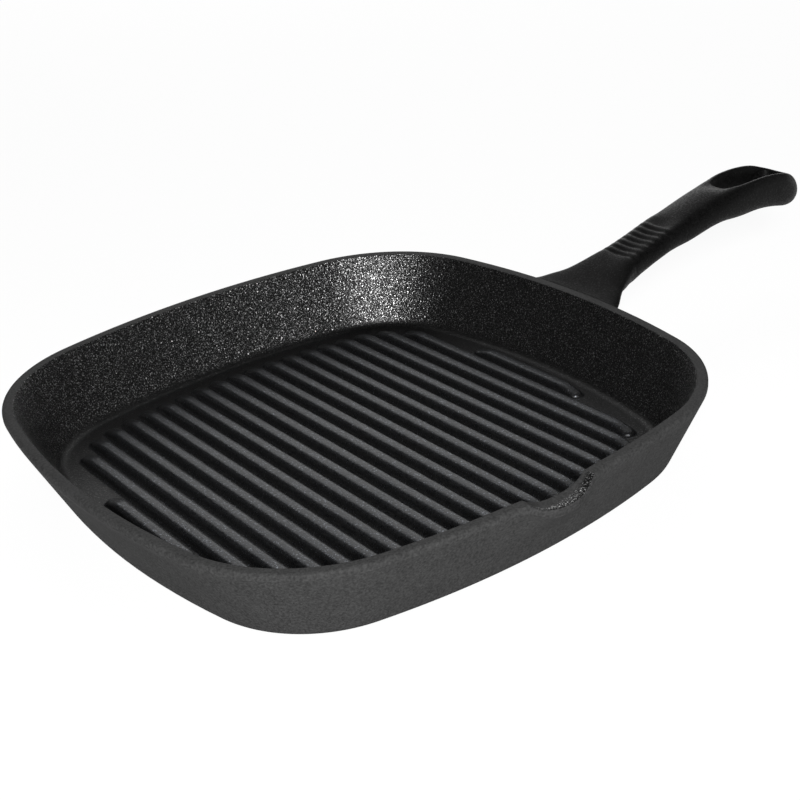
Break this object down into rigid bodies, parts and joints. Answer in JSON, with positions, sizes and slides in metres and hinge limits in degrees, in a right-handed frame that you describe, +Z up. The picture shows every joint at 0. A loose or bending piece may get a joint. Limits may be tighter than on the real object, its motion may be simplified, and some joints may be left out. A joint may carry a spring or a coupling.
{
  "type": "grill pan",
  "caption": "Square cast-iron grill pan with bowed sides, a flared wall, parallel ribs on the floor, a pour spout in one side and a rising handle with a hanging slot.",
  "frame": {"origin": "centre of the flat base, on the surface that the pan stands on", "axes": "+Z up out of the base, +X along the handle, -Y towards the pour spout"},
  "size_m": [0.427, 0.2744, 0.0647],
  "materials": {
    "pan_shell": "seasoned, matte with a fine cast grain, satin on the worn rim",
    "cooking_surface": "seasoned, grainy semi-gloss black",
    "handle": "seasoned, satin black, smoother than the shell"
  },
  "bodies": {
    "root": {"pan_floor": "cooking_surface", "pan_wall": "pan_shell", "pour_spout": "pan_shell", "handle_root": "handle", "handle_grip": "handle", "hanging_loop": "handle", "rib_01": "cooking_surface", "rib_02": "cooking_surface", "rib_03": "cooking_surface", "rib_04": "cooking_surface", "rib_05": "cooking_surface", "rib_06": "cooking_surface", "rib_07": "cooking_surface", "rib_08": "cooking_surface", "rib_09": "cooking_surface", "rib_10": "cooking_surface", "rib_11": "cooking_surface", "rib_12": "cooking_surface", "rib_13": "cooking_surface", "rib_14": "cooking_surface", "rib_15": "cooking_surface", "rib_16": "cooking_surface", "rib_17": "cooking_surface", "rib_18": "cooking_surface", "rib_19": "cooking_surface", "rib_20": "cooking_surface", "rib_21": "cooking_surface"}
  },
  "joints": []
}
